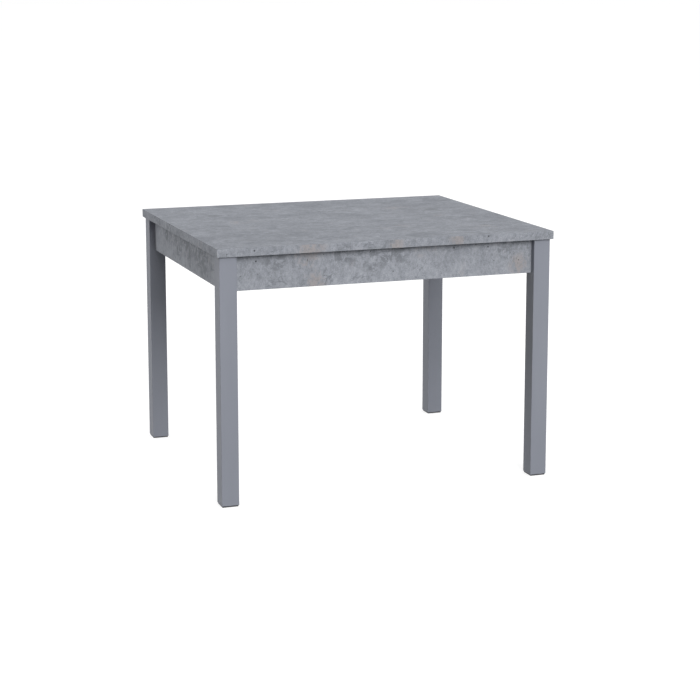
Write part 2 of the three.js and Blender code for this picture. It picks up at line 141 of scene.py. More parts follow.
class Finish:
    def __init__(self, holder, place="Object"):
        """holder is a new material, or the world, whose finish is the light of the room."""
        self.material = holder
        self.material.use_nodes = True
        self.tree = self.material.node_tree
        self.tree.nodes.clear()
        self.here = self.node("TexCoord", out=place)

    def node(self, kind, settings=None, inputs=None, out=0):
        """Adds a node: first its settings, then the value or the link of each input named."""
        made = self.tree.nodes.new("ShaderNode" + kind)
        for name, value in (settings or {}).items():
            setattr(made, name, value)
        for key, value in (inputs or {}).items():
            if isinstance(value, Field):
                self.tree.links.new(value.socket, made.inputs[key])
            else:
                made.inputs[key].default_value = value
        return Field(self, made.outputs[out]) if made.outputs else None

    def stretched(self, factors):
        """The place on the piece, with each axis multiplied: a small factor draws a pattern out."""
        return self.node("VectorMath", {"operation": "MULTIPLY"}, {0: self.here, 1: factors})

    def noise(self, scale, detail=2.0, roughness=0.5, distortion=0.0, place=None):
        values = {"Vector": place or self.here, "Scale": scale, "Detail": detail}
        values.update({"Roughness": roughness, "Distortion": distortion})
        return self.node("TexNoise", {"noise_dimensions": "3D"}, values)

    def cells(self, scale, out="Distance", place=None):
        settings = {"feature": "F1", "voronoi_dimensions": "2D" if place else "3D"}
        return self.node("TexVoronoi", settings, {"Vector": place or self.here, "Scale": scale}, out)

    def near(self, place, reach):
        """1 at a place, falling smoothly to 0 at reach, in metres."""
        gap = self.node("VectorMath", {"operation": "DISTANCE"}, {0: self.here, 1: place}, "Value")
        return 1 - gap.between(0.0, reach)

    def part(self, vector, axis):
        """One of the three numbers of a vector or colour."""
        return self.node("SeparateXYZ", None, {0: vector}, axis)

    def mix(self, first, second, factor):
        values = {MIX_FACTOR: factor, MIX_A: first, MIX_B: second}
        return self.node("Mix", {"data_type": "RGBA"}, values, MIX_COLOUR)

    def shade(self, fixed, drawn, height=None, relief=0.0):
        """Ends the drawing: a shader with its fixed numbers, what is drawn, and a relief in metres."""
        values = dict(fixed)
        values.update(drawn)
        if height is not None:
            bump = {"Strength": 1.0, "Distance": relief, "Height": height}
            values["Normal"] = self.node("Bump", None, bump)
        shader = self.node("BsdfPrincipled", None, values)
        self.node("OutputMaterial", None, {"Surface": shader})
        print("finish", self.material.name, "has", len(self.tree.nodes), "nodes")
        return self.material


# %% [markdown]
# ## Concrete-look laminate
#
# The boards are chipboard under a printed paper sealed with resin. The print is a picture of cast concrete: a
# cool grey with soft clouds, finger-sized mottles, crisp dark flecks in clusters, hairline cracks, a few warm
# and bluish stains, and small black air holes. Several noises of different sizes, added up, give that kind
# of unevenness. A noise cut off sharply gives flecks, and a noise's middle value gives a crack, because it
# runs in a thin line between high and low. A cell pattern splits the board into cells with a middle each, and
# an air hole can sit at every middle. Resin takes a faint relief from its press plate, so the bump is only a
# few hundredths of a millimetre.
#
# The sizes of the patterns are given as how many of them fit in a metre. The boldest stains, the dark spots
# under the top of the aprons, which are partly print and partly painted shadow of the top's overhang, and the
# air holes have places of their own, each with its reach in metres.

# %% The laminate's colours, and the places of its boldest marks
CONCRETE_DEEP = (0.140, 0.150, 0.170)
CONCRETE_PALE = (0.360, 0.376, 0.414)
CONCRETE_WARM = (0.292, 0.258, 0.246)
# The stain colour is that of the dark flecks and swirls, and also of the painted shadow under the top of the
# aprons.
CONCRETE_STAIN_AND_SHADE = (0.138, 0.147, 0.163)
AIR_HOLE = (0.030, 0.032, 0.038)
SWIRLS = [((-0.349, 0.209, 0.760), 0.055), ((0.366, 0.127, 0.760), 0.050)]
WARM_PLACES = [
    ((-0.243, -0.450, 0.743), 0.075),
    ((-0.225, -0.424, 0.642), 0.060),
    ((0.421, -0.424, 0.661), 0.055),
    ((0.013, -0.450, 0.747), 0.050),
    ((0.212, -0.450, 0.748), 0.045),
]
# Dark spots just under the top of the front and left aprons: partly mottles of the print, partly painted
# shadow of the top's overhang.
FRONT_MOTTLE_AND_SHADE_PLACES = [
    ((-0.133, -0.424, 0.716), 0.070),
    ((-0.040, -0.424, 0.700), 0.080),
    ((0.039, -0.424, 0.709), 0.060),
    ((0.383, -0.424, 0.706), 0.060),
    ((-0.346, -0.424, 0.710), 0.060),
]
LEFT_MOTTLE_AND_SHADE_PLACES = [
    ((-0.499, 0.225, 0.722), 0.060),
    ((-0.499, 0.085, 0.712), 0.090),
    ((-0.499, -0.030, 0.710), 0.080),
    ((-0.499, -0.150, 0.700), 0.080),
    ((-0.499, -0.220, 0.680), 0.070),
]
AIR_HOLE_REACH = 3.8 * MM
AIR_HOLE_PLACES = [
    ((-0.415, -0.450, 0.750), AIR_HOLE_REACH),
    ((-0.403, -0.424, 0.715), AIR_HOLE_REACH),
    ((0.311, -0.450, 0.755), AIR_HOLE_REACH),
    ((0.321, -0.424, 0.719), AIR_HOLE_REACH),
    ((0.211, -0.424, 0.721), AIR_HOLE_REACH),
]


def opaque(colour):
    return (*colour, 1.0)


def near_any(f, places):
    """The sum of soft spots, one for each (place, reach)."""
    total = 0.0
    for place, reach in places:
        total = f.near(place, reach) + total
    return total


# %% [markdown]
# A streaked print has a grain, which is the axis that its streaks run along: X on the faces, and Z on the
# uprights. Each mark has a mask that says where it shows, from 0 for nowhere to 1 for fully. The masks are
# drawn one by one in two cells, and after that each of them mixes its own colour into the print.

# %% Draw the masks of holes and swirls
AIR_HOLES_PER_METRE = 15.0
PINPRICKS_PER_METRE = 75.0
PINPRICK_STRENGTH = 0.6
SWIRL_RAGGEDNESS = 1.3


def air_holes(f, flat):
    """A cell whose random number is high enough holds a hole, and a finer pattern adds pinpricks."""
    chosen = f.part(f.cells(AIR_HOLES_PER_METRE, "Color", flat), 0)
    size = chosen * 0.030 - 0.004
    inside = 1 - (f.cells(AIR_HOLES_PER_METRE, "Distance", flat) - size).between(-0.004, 0.006)
    hole = inside * chosen.between(0.55, 0.6)
    pinprick_chosen = f.part(f.cells(PINPRICKS_PER_METRE, "Color", flat), 1)
    pinprick = 1 - f.cells(PINPRICKS_PER_METRE, "Distance", flat).between(0.04, 0.10)
    return hole + pinprick * pinprick_chosen.between(0.80, 0.82) * PINPRICK_STRENGTH


def pits(f, grain, marked):
    """Air holes all over, and on a marked board the ones that have places of their own."""
    across = f.part(f.here, "X")
    if grain == "X":
        flat = f.node("CombineXYZ", None, {0: across, 1: f.part(f.here, "Y")})
    else:
        flat = f.node("CombineXYZ", None, {0: across + f.part(f.here, "Y"), 1: f.part(f.here, "Z")})
    pit = air_holes(f, flat)
    if marked:
        pit = pit + near_any(f, AIR_HOLE_PLACES) * 1.6
    return pit.between(0.0, 1.0)


def swirl_marks(f):
    """Broken rings round a dark middle, as a trowel leaves them."""
    broken = f.noise(42.0, detail=5.0, roughness=0.7, distortion=0.6).between(0.42, 0.60)
    total = 0.0
    for place, reach in SWIRLS:
        ragged = f.noise(20.0, detail=5.0, roughness=0.66, distortion=0.8) - 0.5
        close = f.near(place, reach * 1.3) + ragged * SWIRL_RAGGEDNESS
        ring = close.between(0.12, 0.24) - close.between(0.30, 0.50)
        middle = close.between(0.62, 0.95)
        total = ring * broken * f.near(place, reach * 1.5) * 1.3 + middle * 0.9 + total
    return total


# %% Draw the masks of stains, painted shade and cracks
# The heights just under the top where an apron is darkened by a painted shadow of the top's overhang.
UNDER_TOP_SHADE_BAND = (0.672, 0.735)
CRACKS_PER_METRE = {"X": 8.0, "Z": 17.0}
CRACK_BREADTH = {"X": 0.0010, "Z": 0.0003}


def warm_stains(f, grain, drawn_out, unevenness):
    warm = f.noise(9.0, detail=4.0, roughness=0.66, distortion=0.6, place=drawn_out).between(0.55, 0.70) * 0.6
    if grain == "Z":
        warm = warm + near_any(f, WARM_PLACES) * 1.2
    return (warm * unevenness.between(0.36, 0.60)).between(0.05, 1.0)


def dark_stains_and_shade(f, drawn_out, flecks_per_metre, upper_mottle_and_shade, contrast):
    """Clustered flecks, and then either the swirls, or dark mottles in a band under the top, partly print and
    partly painted shadow of the top's overhang.
    """
    fleck = f.noise(flecks_per_metre, detail=7.0, roughness=0.76, distortion=0.3, place=drawn_out)
    cluster = f.noise(12.0, detail=4.0, roughness=0.65, distortion=0.5).between(0.45, 0.66)
    dark = fleck.between(0.50, 0.59) * cluster * (0.75 * contrast)
    if not upper_mottle_and_shade:
        return dark + swirl_marks(f)
    places = FRONT_MOTTLE_AND_SHADE_PLACES + LEFT_MOTTLE_AND_SHADE_PLACES
    # The band under the top and the dark places are a painted shadow of the top's overhang, broken up into
    # mottles like those of the print.
    upper = f.part(f.here, "Z").between(*UNDER_TOP_SHADE_BAND) * 0.30 + near_any(f, places) * 0.9
    broken = f.noise(46.0, detail=7.0, roughness=0.76, distortion=0.4).between(0.44, 0.58)
    return dark + upper * broken * upper_mottle_and_shade


def cracks(f, grain):
    """Hairlines where a noise passes through its middle, in some places only."""
    wavy = f.stretched((0.5, 1.0, 0.8))
    ridge = f.noise(CRACKS_PER_METRE[grain], detail=5.0, roughness=0.62, distortion=0.5, place=wavy) - 0.5
    cracked = f.noise(15.0, detail=2.0, roughness=0.5).between(0.50, 0.60)
    return (1 - (ridge * ridge).between(0.0, CRACK_BREADTH[grain])) * cracked


# %% [markdown]
# The ground colour comes first. A noise's values lie round 0.5, so 0.5 is taken off before it is weighed and
# added, and the weights say how much each size of unevenness counts. The sum picks a grey between the deepest
# and the palest. The marks are then laid over it, and the same noises also give the roughness and the relief.

# %% Put the laminate together
CLOUDS_PER_METRE = 6.0
BLOTCHES_PER_METRE = 24.0
MOTTLES_PER_METRE = 110.0
STREAKS_PER_METRE = 230.0
GRIT_PER_METRE = 330.0
PRINT_DRAWN_OUT = 0.7
STREAKS_DRAWN_OUT = 0.3
PRESS_RELIEF = 0.05 * MM


def along_grain(f, grain, factor):
    """The place on the piece, with a pattern drawn out along the grain when the factor is small."""
    return f.stretched([factor if axis == grain else 1.0 for axis in "XYZ"])


def concrete_laminate(name, grain, flecks_per_metre, upper_mottle_and_shade, contrast, paleness):
    """upper_mottle_and_shade is how much the mottles darken near the top, partly print and partly painted
    shadow of the top's overhang. contrast weighs the blotches and flecks.
    """
    f = new_finish(name)
    drawn_out = along_grain(f, grain, PRINT_DRAWN_OUT)
    brushed = along_grain(f, grain, STREAKS_DRAWN_OUT)
    cloud = f.noise(CLOUDS_PER_METRE, detail=3.0, roughness=0.55, distortion=0.4)
    blotch = f.noise(BLOTCHES_PER_METRE, detail=6.0, roughness=0.70, distortion=0.4, place=drawn_out)
    mottle = f.noise(MOTTLES_PER_METRE, detail=5.0, roughness=0.76, distortion=0.2, place=drawn_out)
    streak = f.noise(STREAKS_PER_METRE, detail=3.0, roughness=0.6, place=brushed)
    grit = f.noise(GRIT_PER_METRE, detail=3.0, roughness=0.8)
    tone = (cloud - 0.5) * 0.35 + (blotch - 0.5) * (0.65 * contrast) + (mottle - 0.5) * 1.1
    tone = tone + (streak - 0.5) * 0.25 + (grit - 0.5)
    colour = f.mix(opaque(CONCRETE_DEEP), opaque(CONCRETE_PALE), (tone + paleness).between(-0.1, 1.1))

    warm = warm_stains(f, grain, drawn_out, blotch + mottle - 0.5)
    colour = f.mix(colour, opaque(CONCRETE_WARM), warm * 0.62)
    dark = dark_stains_and_shade(f, drawn_out, flecks_per_metre, upper_mottle_and_shade, contrast)
    colour = f.mix(colour, opaque(CONCRETE_STAIN_AND_SHADE), dark.between(-0.15, 1.15) * 0.75)
    crack = cracks(f, grain)
    colour = f.mix(colour, opaque(CONCRETE_DEEP), crack * 0.6)
    pit = pits(f, grain, upper_mottle_and_shade > 0)
    colour = f.mix(colour, opaque(AIR_HOLE), pit * 0.9)

    drawn = {"Base Color": colour, "Roughness": mottle * 0.16 + 0.58 + pit * 0.2}
    height = mottle * 0.5 + streak * 0.2 + grit * 0.25 - pit * 1.5 - crack * 0.5
    return f.shade({"Specular IOR Level": 0.15}, drawn, height, PRESS_RELIEF)


face_laminate = concrete_laminate("laminate_faces", "X", flecks_per_metre=66.0, upper_mottle_and_shade=0.0,
                                  contrast=1.1, paleness=0.34)
# The upright laminate darkens its mottles under the top with a painted shadow of the top's overhang.
upright_laminate = concrete_laminate("laminate_uprights", "Z", flecks_per_metre=150.0, upper_mottle_and_shade=1.1,
                                     contrast=1.05, paleness=0.55)
# The end aprons take a paler copy of the upright laminate, painted lighter to make up for the dim light on
# the left side, and with a stronger painted shadow of the top's overhang in their upper mottles.
end_laminate_painted_light = concrete_laminate("laminate_ends", "Z", flecks_per_metre=26.0, upper_mottle_and_shade=2.0,
                                 contrast=1.7, paleness=0.62)

# %% [markdown]
# ## Lacquered legs
#
# The legs are sprayed with a satin bluish-grey lacquer. It is one plain colour, but sprayed paint dries with
# a very shallow orange-peel skin, about a millimetre across, and it is a trace thinner and paler in places.

# %% Draw the lacquer
LACQUER = (0.206, 0.218, 0.253)
LACQUER_PALE = (0.221, 0.233, 0.269)
PEEL_RELIEF = 0.02 * MM


def leg_lacquer():
    f = new_finish("leg_lacquer")
    drift = f.noise(9.0, detail=3.0, place=f.stretched((1.0, 1.0, 0.3)))
    peel = f.noise(850.0, detail=1.0)
    dust = f.noise(2600.0, detail=1.0)
    colour = f.mix(opaque(LACQUER), opaque(LACQUER_PALE), drift.between(0.3, 0.7))
    drawn = {"Base Color": colour, "Roughness": drift * 0.08 + peel * 0.06 + 0.42}
    return f.shade({"Specular IOR Level": 0.18}, drawn, peel + dust * 0.3, PEEL_RELIEF)


leg_finish = leg_lacquer()

# %% [markdown]
# ## Black plastic and nylon
#
# The glides and the rollers are moulded. Black plastic has the fine grain of a spark-eroded mould, and pale
# scuffs. Nylon is milky, and a roller of it takes faint turning marks, so that noise is drawn out round it.

# %% Draw the plastics
PLASTIC_BLACK = (0.016, 0.016, 0.018)
PLASTIC_SCUFFED = (0.050, 0.050, 0.054)
MOULD_RELIEF = 0.03 * MM
NYLON_DULL = (0.62, 0.61, 0.57)
NYLON_MILKY = (0.76, 0.75, 0.71)
TURNING_RELIEF = 0.02 * MM


def black_plastic():
    f = new_finish("black_plastic")
    grain = f.noise(1500.0, detail=2.0, roughness=0.6)
    scuff = f.noise(60.0, detail=4.0, roughness=0.65).between(0.5, 0.75)
    colour = f.mix(opaque(PLASTIC_BLACK), opaque(PLASTIC_SCUFFED), scuff)
    drawn = {"Base Color": colour, "Roughness": grain * 0.1 + 0.48}
    return f.shade({"Specular IOR Level": 0.45}, drawn, grain, MOULD_RELIEF)


def white_nylon():
    f = new_finish("white_nylon")
    milk = f.noise(45.0, detail=3.0)
    turning = f.noise(700.0, detail=1.0, place=f.stretched((0.05, 1.0, 0.05)))
    colour = f.mix(opaque(NYLON_DULL), opaque(NYLON_MILKY), milk.between(0.3, 0.7))
    drawn = {"Base Color": colour, "Roughness": turning * 0.12 + 0.34}
    return f.shade({"Specular IOR Level": 0.5}, drawn, turning, TURNING_RELIEF)


glide_finish = black_plastic()
nylon_finish = white_nylon()

# %% [markdown]
# ## Zinc-plated steel and drawn aluminium
#
# Zinc plating is bright with a bluish cast, cloudy where it took unevenly, a little yellow where it has
# dulled, and finely scratched. Drawn aluminium has straight lines from its die, which run the length of the
# channel. A metal has no colour but that of its reflections, so both are set fully metallic.

# %% Draw the metals
ZINC_CLOUDY = (0.47, 0.49, 0.52)
ZINC_BRIGHT = (0.66, 0.68, 0.71)
ZINC_DULLED = (0.52, 0.50, 0.45)
SCRATCH_RELIEF = 0.01 * MM
ALUMINIUM_IN_LINES = (0.36, 0.37, 0.38)
ALUMINIUM_BETWEEN = (0.50, 0.51, 0.52)
DIE_LINE_RELIEF = 0.02 * MM


def zinc_steel():
    f = new_finish("zinc_steel")
    cloudy = f.noise(38.0, detail=4.0, roughness=0.6, distortion=0.5)
    scratch = f.noise(900.0, detail=2.0, roughness=0.6, place=f.stretched((0.08, 1.0, 1.0)))
    dull = f.noise(11.0, detail=3.0, roughness=0.6).between(0.45, 0.7)
    colour = f.mix(opaque(ZINC_CLOUDY), opaque(ZINC_BRIGHT), cloudy.between(0.3, 0.7))
    colour = f.mix(colour, opaque(ZINC_DULLED), dull * 0.35)
    drawn = {"Base Color": colour, "Roughness": cloudy * 0.16 + scratch * 0.12 + 0.24}
    return f.shade({"Metallic": 1.0}, drawn, scratch, SCRATCH_RELIEF)


def drawn_aluminium():
    f = new_finish("drawn_aluminium")
    line = f.noise(1400.0, detail=3.0, roughness=0.6, place=f.stretched((0.01, 1.0, 1.0)))
    cloudy = f.noise(14.0, detail=2.0, place=f.stretched((0.3, 1.0, 1.0)))
    colour = f.mix(opaque(ALUMINIUM_IN_LINES), opaque(ALUMINIUM_BETWEEN), line.between(0.3, 0.7))
    drawn = {"Base Color": colour, "Roughness": line * 0.14 + cloudy * 0.1 + 0.36}
    return f.shade({"Metallic": 1.0}, drawn, line, DIE_LINE_RELIEF)


steel_finish = zinc_steel()
channel_finish = drawn_aluminium()

# %% [markdown]
# ## Beech and raw chipboard
#
# Beech is pinkish and even, with fibres along the grain, soft rings, and the short dark flecks by which it is
# known. Dowels and battens lie at right angles, so beech is drawn once along X and once along Y. Raw
# chipboard is seen only inside the drilled holes. Its chips are the cells of a cell pattern, and each one has
# a grade of brown of its own.

# %% Draw the woods
BEECH_DARK = (0.46, 0.28, 0.15)
BEECH_PALE = (0.64, 0.44, 0.27)
BEECH_FLECK = (0.29, 0.16, 0.08)
FIBRES_DRAWN_OUT = 0.06
FLECKS_DRAWN_OUT = 0.14
FIBRE_RELIEF = 0.06 * MM
CHIP_DARK = (0.27, 0.19, 0.11)
CHIP_PALE = (0.55, 0.43, 0.28)
CHIP_RELIEF = 0.2 * MM


def beech(name, grain):
    f = new_finish(name)
    along = along_grain(f, grain, FIBRES_DRAWN_OUT)
    fibre = f.noise(420.0, detail=3.0, roughness=0.6, distortion=0.2, place=along)
    ring = f.noise(60.0, detail=2.0, distortion=0.8, place=along)
    fleck = f.noise(900.0, detail=1.0, place=along_grain(f, grain, FLECKS_DRAWN_OUT))
    colour = f.mix(opaque(BEECH_DARK), opaque(BEECH_PALE), (fibre + ring - 0.5).between(0.2, 0.8))
    colour = f.mix(colour, opaque(BEECH_FLECK), fleck.between(0.62, 0.72) * 0.6)
    drawn = {"Base Color": colour, "Roughness": fibre * 0.15 + 0.5}
    return f.shade({"Specular IOR Level": 0.3}, drawn, fibre, FIBRE_RELIEF)


def raw_chipboard():
    f = new_finish("raw_chipboard")
    chip = f.part(f.cells(520.0, "Color"), 0)
    fibre = f.noise(1300.0, detail=2.0, roughness=0.6)
    colour = f.mix(opaque(CHIP_DARK), opaque(CHIP_PALE), chip * 0.7 + fibre * 0.3)
    drawn = {"Base Color": colour, "Roughness": fibre * 0.1 + 0.75}
    return f.shade({"Specular IOR Level": 0.2}, drawn, chip * 0.5 + fibre, CHIP_RELIEF)


dowel_finish = beech("beech_along_x", "X")
batten_finish = beech("beech_along_y", "Y")
chipboard_finish = raw_chipboard()

# %% [markdown]
# ## From a drawn solid to a piece
#
# A solid is drawn in a bmesh, Blender's mesh for editing in code. To become a piece of the table it turns
# into an object, gets its finishes, and is told which body it rides on and which plain solid it stands for.
# Sharp edges are marked by their angle, and a weighted normal modifier keeps the wide faces flat while the
# narrow rounded edges shade smoothly between them.

# %% Turn solids into pieces
SHARP_ANGLE = math.radians(40)


def shade_smoothly(thing):
    for face in thing.data.polygons:
        face.use_smooth = True
    thing.data.set_sharp_from_angle(angle=SHARP_ANGLE)
    even = thing.modifiers.new("even_shading", "WEIGHTED_NORMAL")
    even.keep_sharp = True
    even.weight = 100


def as_object(name, solid, finishes=()):
    """Turns a bmesh into an object with outward faces, and lists its finishes."""
    mesh = bpy.data.meshes.new(name)
    bmesh.ops.recalc_face_normals(solid, faces=solid.faces)
    solid.to_mesh(mesh)
    solid.free()
    for finish in finishes:
        mesh.materials.append(finish)
    thing = bpy.data.objects.new(name, mesh)
    bpy.context.scene.collection.objects.link(thing)
    return thing


def place_on_table(thing, body, slot, *stands_for):
    """body is what it rides on, slot is not used, and stands_for names plain solids."""
    shade_smoothly(thing)
    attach(thing, body)
    if stands_for:
        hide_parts(*stands_for)
    print(thing.name, "rides on", body, "and has", len(thing.data.polygons), "faces")
    return thing


# %% [markdown]
# ## Solids to start from
#
# Nearly all of the table is boards, round bars and turned parts. A board is a box whose edges are rounded a
# little, because a perfectly sharp edge never catches the light as a real one does. A turned part is drawn
# as a lathe would cut it: a list of places along its axis with the radius at each.

# %% Boards and turned parts
ROUND_STEPS = 3
LATHE_STEPS = 40
FLUTE_EVERY = 4
FLUTE_FROM = 2


def board(low, high, arris):
    """arris is how wide the rounding along each edge is."""
    low, high = Vector(low), Vector(high)
    solid = bmesh.new()
    bmesh.ops.create_cube(solid, size=1.0)
    bmesh.ops.scale(solid, vec=high - low, verts=solid.verts)
    bmesh.ops.translate(solid, vec=(low + high) / 2, verts=solid.verts)
    bmesh.ops.bevel(solid, geom=solid.edges[:], offset=arris, segments=ROUND_STEPS, profile=0.5,
                    affect="EDGES", clamp_overlap=True)
    return solid


def facing(place, way):
    """Moves what was drawn round the Z axis to a place, and turns it to look another way."""
    return Matrix.Translation(Vector(place)) @ Vector(way).to_track_quat("Z", "Y").to_matrix().to_4x4()


def turned(profile, start=(0, 0, 0), axis=(0, 0, 1), steps=LATHE_STEPS, flute=0.0, bored=False):
    """profile lists (distance along the axis, radius). Of every four steps round, two lie in a flute, which
    is that deep. A bored part joins its last ring to its first, which leaves a hole through it."""
    to_axis = facing(start, axis)
    solid = bmesh.new()
    rings = []
    for along, radius in profile:
        if radius == 0:
            rings.append([solid.verts.new(to_axis @ Vector((0, 0, along)))])
            continue
        ring = []
        for step in range(steps):
            turn = 2 * math.pi * step / steps
            reach = radius - (flute if step % FLUTE_EVERY >= FLUTE_FROM else 0.0)
            point = Vector((reach * math.cos(turn), reach * math.sin(turn), along))
            ring.append(solid.verts.new(to_axis @ point))
        rings.append(ring)
    if bored:
        rings.append(rings[0])
    for lower, upper in zip(rings, rings[1:]):
        for step in range(steps):
            after = (step + 1) % steps
            if len(lower) == 1:
                solid.faces.new((lower[0], upper[step], upper[after]))
            elif len(upper) == 1:
                solid.faces.new((lower[step], lower[after], upper[0]))
            else:
                solid.faces.new((lower[step], lower[after], upper[after], upper[step]))
    return solid


def bar(radius, length):
    """The profile of a plain bar with flat ends."""
    return [(0, 0), (0, radius), (length, radius), (length, 0)]


def chamfered_bar(radius, length, chamfer, tip):
    """The profile of a bar whose ends narrow to the radius tip over the length of the chamfer."""
    return [(0, 0), (0, tip), (chamfer, radius), (length - chamfer, radius), (length, tip), (length, 0)]


# %% [markdown]
# A piece is often several closed solids that belong together, such as the knuckles of one hinge. Holes are
# cut with a Boolean modifier, which takes a cutter's shape away. Its result is kept as a plain mesh, so that
# the cutter isn't needed any more, and the new walls take the cutter's finish.

# %% Join and carve solids
def joined(solids):
    """Several solids as one, each still its own closed shell."""
    whole = bmesh.new()
    for solid in solids:
        carrier = bpy.data.meshes.new("carrier")
        solid.to_mesh(carrier)
        solid.free()
        whole.from_mesh(carrier)
        bpy.data.meshes.remove(carrier)
    return whole


def carved(thing, cutter_solid, finishes=()):
    """Cuts a solid away from an object, and gives the new walls the cutter's finish."""
    cutter = as_object("cutter", cutter_solid, finishes)
    cutting = thing.modifiers.new("carve", "BOOLEAN")
    cutting.operation = "DIFFERENCE"
    cutting.solver = "EXACT"
    cutting.material_mode = "TRANSFER"
    cutting.object = cutter
    bpy.context.view_layer.update()
    seen = thing.evaluated_get(bpy.context.evaluated_depsgraph_get())
    shape = bpy.data.meshes.new_from_object(seen)
    thing.modifiers.remove(cutting)
    thing.data = shape
    bpy.data.objects.remove(cutter)
    return thing


# %% [markdown]
# ## The two halves of the top
#
# Each half is a 25 mm board with the print on both faces and a matching strip on its edges. On the strip the
# streaks stand upright, so the faces and the edges take two different finishes, chosen by which way each
# face of the mesh looks. Where the halves meet, four holes are drilled for the dowels, and raw chipboard
# shows inside them. Two small holes from below take the latch's shoulder screws.

# %% Build the top
TOP_ARRIS = 0.8 * MM
UPRIGHT_LIMIT = 0.7
HOLE_STEPS = 24


def face_and_edge(thing):
    """Faces that look up or down keep the first finish, and those that look sideways take the second."""
    for face in thing.data.polygons:
        if face.material_index == 0 and abs(face.normal.z) < UPRIGHT_LIMIT:
            face.material_index = 1
    return thing


def drilled(thing, holes):
    """holes lists (start, direction, radius, depth)."""
    bars = [turned(bar(radius, depth), start, axis, HOLE_STEPS) for start, axis, radius, depth in holes]
    return carved(thing, joined(bars), [chipboard_finish])


dowel_boxes = [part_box("joint_dowel_%d" % number) for number in range(1, 5)]
dowel_middles = [(low + high) / 2 for low, high in dowel_boxes]
DOWEL_RADIUS = (dowel_boxes[0][1].z - dowel_boxes[0][0].z) / 2
HOLE_PLAY = 0.3 * MM
DOWEL_HOLE_RADIUS = DOWEL_RADIUS + HOLE_PLAY
DOWEL_HOLE_DEPTH = 21 * MM
STUD_HOLE_RADIUS = 2.8 * MM
STUD_HOLE_DEPTH = 15 * MM
CUT_START = 2 * MM

for end, side in ENDS.items():
    low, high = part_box("top_" + end)
    half = as_object("top_%s_board" % end, board(low, high, TOP_ARRIS), [face_laminate, upright_laminate])
    face_and_edge(half)
    holes = [((-side * CUT_START, middle.y, middle.z), (side, 0, 0), DOWEL_HOLE_RADIUS,
              DOWEL_HOLE_DEPTH + CUT_START) for middle in dowel_middles]
    stud = "latch_pivot_" if end == "left" else "latch_keeper_"
    for row in ROWS:
        stud_low, stud_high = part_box(stud + row)
        middle = (stud_low + stud_high) / 2
        holes.append(((middle.x, middle.y, low.z - CUT_START), (0, 0, 1), STUD_HOLE_RADIUS,
                      STUD_HOLE_DEPTH + CUT_START))
    drilled(half, holes)
    place_on_table(half, end + "_half", "concrete_laminate", "top_" + end)

# %% [markdown]
# ## Aprons, the folded leaf and its bearers
#
# The four aprons are strips of the same board, stood on edge between the legs. The spare leaf lies under
# the joint as two boards folded on each other, on two beech battens that run from apron to apron. Its boards
# are drilled like the top, because it is pushed onto the same dowels when the table is extended.

# %% Build the aprons, leaf and bearers
APRON_ARRIS = 0.6 * MM
BATTEN_ARRIS = 1.2 * MM

for row in ROWS:
    low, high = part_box("apron_" + row)
    apron = as_object("apron_%s_board" % row, board(low, high, APRON_ARRIS), [upright_laminate])
    place_on_table(apron, "frame", "concrete_laminate", "apron_" + row)
for end in ENDS:
    low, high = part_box("apron_" + end)
    apron = as_object("apron_%s_board" % end, board(low, high, APRON_ARRIS), [end_laminate_painted_light])
    place_on_table(apron, "frame", "concrete_laminate", "apron_" + end)
    low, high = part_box("leaf_bearer_" + end)
    batten = as_object("leaf_bearer_%s_batten" % end, board(low, high, BATTEN_ARRIS), [batten_finish])
    place_on_table(batten, "frame", "beech", "leaf_bearer_" + end)

for which in ("upper", "lower"):
    low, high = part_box("leaf_board_" + which)
    leaf = as_object("leaf_%s_board" % which, board(low, high, TOP_ARRIS), [face_laminate, upright_laminate])
    face_and_edge(leaf)
    fold = high.y
    holes = [((low.x - CUT_START, fold - middle.y, (low.z + high.z) / 2), (1, 0, 0), DOWEL_HOLE_RADIUS,
              DOWEL_HOLE_DEPTH + CUT_START) for middle in dowel_middles if middle.y > 0]
    drilled(leaf, holes)
    place_on_table(leaf, "frame", "concrete_laminate", "leaf_board_" + which)

# %% [markdown]
# ## Legs and their glides
#
# A leg is a plain square post, and its corners are eased just enough for the lacquer to hold. Under each one
# a black plastic pad is nailed on. It is set in from the leg's sides, so a thin dark line shows at the floor.

# %% Build the legs and glides
LEG_ARRIS = 1.1 * MM
GLIDE_ARRIS = 1.0 * MM
PAD_THICKNESS = 3.7 * MM

for row in ROWS:
    for end in ENDS:
        corner = row + "_" + end
        low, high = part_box("leg_" + corner)
        post = as_object("leg_%s_post" % corner, board(low, high, LEG_ARRIS), [leg_finish])
        place_on_table(post, "frame", "leg_lacquer", "leg_" + corner)
        low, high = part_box("foot_glide_" + corner)
        pad_high = (high.x, high.y, low.z + PAD_THICKNESS)
        pad = as_object("foot_glide_%s_pad" % corner, board(low, pad_high, GLIDE_ARRIS), [glide_finish])
        place_on_table(pad, "frame", "black_plastic", "foot_glide_" + corner)

# %% [markdown]
# ## Plain solids that keep their shape
#
# The corner brackets, bolts, channels, sliders, rivets and latches are right as they came. Each one keeps
# its mesh and takes a finish. Their edges would be too sharp for pressed and drawn metal, so two modifiers
# are put on top: a weld, which joins the loose triangles into one skin, and a bevel on every edge that turns
# sharply. The list gives each kind its finish and how wide its edges are eased.

# %% Finish the solids that stay
KEPT = {
    "corner_bracket": (steel_finish, 0.5 * MM),
    "leg_bolt": (steel_finish, 0.5 * MM),
    "runner_channel": (channel_finish, 0.4 * MM),
    "slider": (steel_finish, 0.4 * MM),
    "roller_pin": (steel_finish, 0.3 * MM),
    "latch": (steel_finish, 0.4 * MM),
}
WELD_REACH = 0.01 * MM
EASED_ANGLE = math.radians(35)
EASED_STEPS = 2

